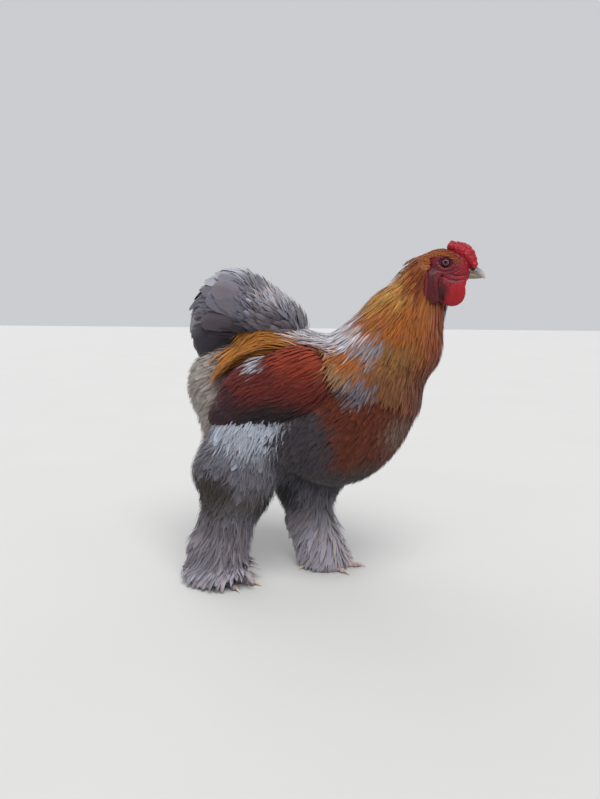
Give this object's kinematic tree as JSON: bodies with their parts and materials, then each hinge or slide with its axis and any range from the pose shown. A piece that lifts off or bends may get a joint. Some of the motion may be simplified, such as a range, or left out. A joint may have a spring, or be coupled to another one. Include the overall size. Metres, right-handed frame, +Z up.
{
  "type": "brahma chicken",
  "caption": "Standing cock with a pea comb, long hackles, a full round tail, fluffy thighs and feathered feet, in mid-stance.",
  "frame": {"origin": "on the floor, under the middle of the bird's box", "axes": "+X towards the beak, +Y to the bird's left, +Z up"},
  "size_m": [0.5314, 0.2386, 0.6126],
  "materials": {
    "hackle": "long, pointed feathers with a silky sheen, golden orange",
    "plumage": "soft, rounded body feathers, mottled brown and blue-grey",
    "wing": "closed wing feathers, mahogany red with dark brown quills",
    "tail": "broad, soft tail feathers, slate blue",
    "fluff": "loose fluff, pale blue-grey",
    "foot_feathers": "long, stiff foot feathers, mauve-grey",
    "toe_skin": "scaly skin, pinkish yellow",
    "claw": "horn, pale",
    "beak": "horn, grey with a pale tip",
    "face": "bare, finely wrinkled skin, dark red",
    "comb": "bare, beaded skin, bright red",
    "eye": "wet and clear, pale brown iris with a dark pupil"
  },
  "bodies": {
    "root": {"torso": "plumage", "neck": "hackle", "head": "face", "tail": "tail", "bill_upper": "beak", "bill_lower": "beak", "comb": "comb", "eye_left": "eye", "ear_lobe_left": "comb", "wattle_left": "comb", "wing_left": "wing", "thigh_left": "fluff", "shank_left": "foot_feathers", "foot_left": "toe_skin", "claw_left_inner": "claw", "claw_left_middle": "claw", "claw_left_outer": "claw", "claw_left_hind": "claw", "eye_right": "eye", "ear_lobe_right": "comb", "wattle_right": "comb", "wing_right": "wing", "thigh_right": "fluff", "shank_right": "foot_feathers", "foot_right": "toe_skin", "claw_right_inner": "claw", "claw_right_middle": "claw", "claw_right_outer": "claw", "claw_right_hind": "claw"}
  },
  "joints": []
}
